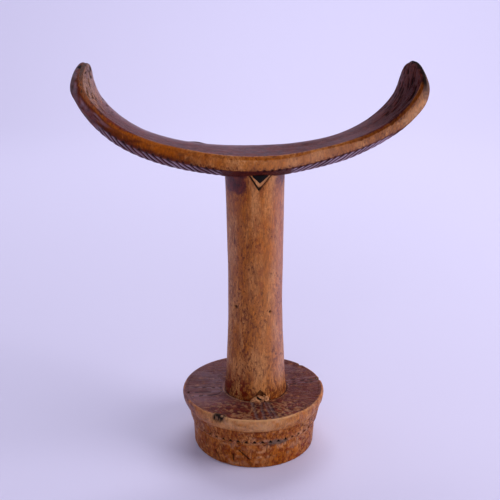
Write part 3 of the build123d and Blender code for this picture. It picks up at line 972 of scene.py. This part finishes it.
def base_top(turn, radius):
    """Carved depth, downwards, and marks on the base's top."""
    flat = round_points(radius, turn, 0)
    x, y = flat[:, 0], flat[:, 1]
    bent_x = x + 0.35 * 1.2 * noise(flat, 7, 50)
    bent_y = y + 0.35 * 1.2 * noise(flat, 7, 52)
    facing = np.where(y > 0, -1, 1)
    grooves = top_grooves(facing * bent_x, facing * bent_y, FRONT_GROOVES)
    smudged = grooves * (0.75 + 0.6 * noise(flat, (2.5, 2.5, 1), 57))
    side_grooves = top_grooves(bent_x, bent_y, RIGHT_GROOVES + LEFT_GROOVES)
    dashes = side_grooves * spots(-0.35, 0.25, flat, (2.3, 2.3, 1), 58)
    streaks = spots(0.35, 0.8, flat, (2.6, 0.8, 1), 43)
    spot = step(0.9, 0.45, np.hypot(x - TOP_SPOT[0], y - TOP_SPOT[1]))
    ring = bump(radius, BASE_RADIUS - 2.6, 0.5) * spots(-0.2, 0.4, flat, 9, 44)
    off_axis = np.hypot(x - FOOT_LEAN, y + FOOT_FORWARD)
    bead = bump(off_axis, BEAD_RADIUS, 0.75)
    slits = spots(0.25, 0.6, flat, (1.5, 1.5, 1), 45) * bump(off_axis, BEAD_RADIUS - 0.1, 0.6)
    depth = 0.18 * noise(flat, 11, 41) + 0.1 * noise(flat, (4.5, 1.1, 1), 42) + 0.1 * streaks
    depth += 0.35 * grooves + 0.35 * dashes + 0.5 * spot + 0.15 * ring - 0.22 * bead * (1 - 0.8 * slits)

    off_front = np.abs(around(turn, 8))
    front = step(-12, -24, y) * step(34, 12, np.abs(x))
    rim = step(BASE_RADIUS - 1.7, BASE_RADIUS - 0.8, radius + 0.3 * noise(flat, 6, 46))
    worn_rim = 0.7 * rim * step(80, 30, off_front)
    red = 0.7 * spots(-0.2, 0.6, flat, 10, 47)
    stain = 0.9 - 0.65 * rim * step(95, 45, off_front) - 0.25 * bead - 0.2 * red
    # Painted highlight on the bead round the column's foot, stronger at the front left
    lit_bead = (0.08 + 0.3 * step(10, -10, turn) * step(-100, -60, turn)) * bead * (1 - slits)
    foot_line = bump(off_axis, BEAD_RADIUS - 0.6, 0.5)
    cut = highest(0.25 * streaks, 0.4 * bump(grooves, 0.3, 0.3), spot, 0.7 * step(0.3, 0.8, dashes))
    # Lilac: painted sheen in patches towards the back and the left, and a tint along the grooves
    lilac = 0.1 * spots(-0.4, 0.8, flat, (7, 5, 1), 53) * step(-12, 12, y - 0.6 * x)
    lilac += 0.07 * step(12, -24, x) * step(-30, -10, y) + 0.12 * smudged + 0.12 * side_grooves
    return depth, {
        "stain": np.clip(stain, 0, 1),
        "cut": highest(cut, 0.6 * slits, 0.6 * foot_line, 0.3 * ring),
        "red": red,
        "pale": highest(lit_bead, (0.06 + 0.26 * front) * top_fibres(x, y), worn_rim),
        "grey": np.clip(0.45 * smudged, 0, 0.6),
        "lilac": np.clip(lilac, 0, 1),
        "patchy": 0.6 * red * front,
        "calm": 0.8 - 0.8 * front,
    }


def build_base():
    rim_start = BASE_TOP - RIM_ROUNDING
    rounding = rim_start + RIM_ROUNDING * np.sin(np.radians([16, 32, 48, 64, 80]))
    side_levels = [*spaced((0, 1.3, 0.26), (1.3, rim_start, 0.345)), *rounding]
    edge_radius = base_profile(BASE_TOP)
    top_radii = spaced((edge_radius, 16, 0.36), (16, HOLE_RADIUS, 3))
    turns = np.linspace(-180, 180, 600, endpoint=False)

    turn, height = (a.ravel() for a in np.meshgrid(turns, side_levels))
    depth, side_marks = base_side(turn, height)
    shift = points_at(DRUM_SHIFT * step(22.9, 22.3, height))
    side = round_points(base_profile(height) - depth * step(0, 1, height), turn, height) + shift

    # The top follows the side's dents where the two meet
    turn, radius = (a.ravel() for a in np.meshgrid(turns, top_radii))
    depth, top_marks = base_top(turn, radius)
    rim_depth, rim_marks = base_side(turn, 0 * turn + BASE_TOP)
    near_edge = step(edge_radius - 1.6, edge_radius, radius)
    depth = depth * (1 - near_edge) + 0.8 * rim_marks["grey"] * near_edge
    placed = radius - rim_depth * step(edge_radius - 4, edge_radius, radius)
    top = round_points(placed, turn, BASE_TOP - depth)
    for mark in ("cut", "grey"):
        top_marks[mark] = highest(top_marks[mark], rim_marks[mark] * near_edge)

    under = round_points(base_profile(0) - 0.8, turns, 0) + (DRUM_SHIFT, 0, 0)
    hole = round_points(HOLE_RADIUS, turns, TENON_BOTTOM - TENON_ROOM)
    parts = [(under, {}), (side, side_marks), (top, top_marks), (hole, {})]
    make_round_piece("carved_base", parts, len(turns), "base")


build_base()


# ---- Inlays and filler ----


def shell_piece(name, centre, sideways, height, front, back, marks, material, replaces):
    """A closed piece let into the column: a grid of points, with front and back radii."""
    turn = centre + np.degrees(sideways / column_radius(height))
    sheets = [round_points(radius, turn, height) + axis_offset(height) for radius in (front, back)]
    points, marks = joined(*[(sheet.reshape(-1, 3), marks) for sheet in sheets])
    make_piece(name, points, two_sheets(*height.shape, []), marks, material, replaces)


def build_neck_inlay(side, centre):
    rows, columns = 34, 61
    down = np.linspace(-0.75, NECK_INNER[1] - 0.02, rows)[:, None] * np.ones((1, columns))
    half = NECK_INNER[0] * (1 - np.maximum(0, down) / NECK_INNER[1])
    sideways = half * np.linspace(-1, 1, columns)
    inner = inside_triangle(sideways, down, *NECK_INNER)
    sideways = sideways - NECK_SKEW * down
    height = ORNAMENT_TOP - down
    front = column_radius(height) - 0.12 + 0.1 * step(0, 0.5, inner)
    back = column_radius(height) - 1.3
    name, node = f"dark_neck_{side}", f"neck_inlay_{side}"
    shell_piece(name, centre, sideways, height, front, back, {}, inlay_material, node)


def build_foot_filler():
    rows, columns = 40, 110
    up = np.linspace(3.3, 0.02, rows)[:, None] * np.ones((1, columns))
    sideways = np.linspace(-5.2, 5.4, columns) * (1 - 0.62 * up / FOOT_RECESS[1])
    lump = step(1.9, 0.9, np.hypot((sideways - 3.1) / 1.15, up - 1.25))
    plate = step(2.9, 2.2, up + 0.25 * np.abs(sideways + 0.8)) * step(2.4, 1.6, sideways)
    beside, above = sideways + 0.5 + 0.5 * (up - 1.2), up - 1.2 + 0.35 * (sideways + 0.2)
    hole = step(1, 0.5, np.hypot(beside / 1.4, above))
    rough = noise(points_at(sideways, up).reshape(-1, 3), 0.9, 51).reshape(up.shape)
    lumps = 2.5 * highest(lump, 0.75 * plate) + 0.25 * rough
    height = BASE_TOP + up
    front = column_radius(height) - 1.35 + lumps - 1.4 * hole
    back = column_radius(height) - 2.6
    marks = {"cut": np.clip(hole + 0.35 * step(0.4, 0.1, lumps), 0, 1).ravel()}
    name, node = "foot_filler_piece", "foot_filler"
    shell_piece(name, FOOT_TURN, sideways, height, front, back, marks, filler_material, node)


build_neck_inlay("front", ORNAMENT_TURN)
build_neck_inlay("back", ORNAMENT_TURN + 180)
build_foot_filler()


# ---- Studio, in metres: floor, lights and camera ----

FLOOR_FLAT = 1.1  # radius of flat floor round the object before the paper curves up
FLOOR_EDGE = 2.4
FLOOR_RISE = 0.8
OBJECT_MIDDLE = (0, 0, 0.11)
# Name, place, target, width and height, power, tint
LIGHTS = [
    ("right_softbox", (1, -0.35, 0.6), OBJECT_MIDDLE, (0.8, 1), 10, (0.98, 0.93, 1)),
    ("left_softbox", (-0.9, 0.5, 0.5), OBJECT_MIDDLE, (0.6, 0.9), 1, (0.93, 0.93, 1)),
    ("front_fill", (-0.3, -1.4, 0.8), OBJECT_MIDDLE, (1, 0.8), 4, (1, 0.97, 0.98)),
    ("backdrop_light", (0.3, 1, 1.5), (0.2, 1.4, 0), (1.4, 1), 20, (0.94, 0.92, 1)),
]
SKY_TINT = (0.70, 0.67, 0.93, 1)
SKY_STRENGTH = 0.28
CAMERA_PLACE = Vector((-0.03345, -0.360, 0.2202))
CAMERA_TURN = -5.01  # degrees from +Y
CAMERA_PITCH = -17.53
CAMERA_ROLL = 0.14
CAMERA_LENS = 54  # in millimetres, on a sensor 36 wide


def build_floor():
    """A sheet of pale paper, flat under the object and curving up far away on every side."""
    radii = np.concatenate([np.linspace(0.05, FLOOR_FLAT, 6), np.linspace(FLOOR_FLAT, FLOOR_EDGE, 30)[1:]])
    heights = FLOOR_RISE * (np.maximum(0, radii - FLOOR_FLAT) / (FLOOR_EDGE - FLOOR_FLAT)) ** 2.5
    turns = np.linspace(90, 450, 96, endpoint=False)
    rings = round_points(radii[:, None], turns, heights[:, None]).reshape(-1, 3)
    middle = [(0, 1 + i, 1 + (i + 1) % len(turns)) for i in range(len(turns))]
    faces = middle + (grid_quads(len(radii), len(turns), wrap=True) + 1).tolist()
    paper = Nodes("paper")
    paper.fill(paper.shader_inputs, {"Base Color": PAPER, "Roughness": 0.8, "Specular IOR Level": 0.2})
    new_mesh_object("floor", [(0, 0, 0), *rings.tolist()], faces, paper.material)


def build_lights():
    for name, place, target, size, power, tint in LIGHTS:
        data = bpy.data.lights.new(name, "AREA")
        data.shape = "RECTANGLE"
        data.size, data.size_y = size
        data.energy = power
        data.color = tint
        lamp = bpy.data.objects.new(name, data)
        lamp.location = place
        lamp.rotation_euler = (Vector(target) - Vector(place)).to_track_quat("-Z", "Y").to_euler()
        bpy.context.scene.collection.objects.link(lamp)
    world = bpy.data.worlds.new("studio")
    world.use_nodes = True
    background = world.node_tree.nodes["Background"]
    background.inputs["Color"].default_value = SKY_TINT
    background.inputs["Strength"].default_value = SKY_STRENGTH
    bpy.context.scene.world = world
    bpy.context.scene.view_settings.view_transform = "Standard"


def build_camera():
    data = bpy.data.cameras.new("camera")
    data.sensor_width = 36
    data.lens = CAMERA_LENS
    data.clip_start = 0.01
    camera = bpy.data.objects.new("camera", data)
    heading = Matrix.Rotation(np.radians(CAMERA_TURN), 4, "Z")
    pitch = Matrix.Rotation(np.radians(90 + CAMERA_PITCH), 4, "X")
    roll = Matrix.Rotation(np.radians(CAMERA_ROLL), 4, "Z")
    camera.matrix_world = Matrix.Translation(CAMERA_PLACE) @ heading @ pitch @ roll
    bpy.context.scene.collection.objects.link(camera)
    bpy.context.scene.camera = camera


build_floor()
build_lights()
build_camera()
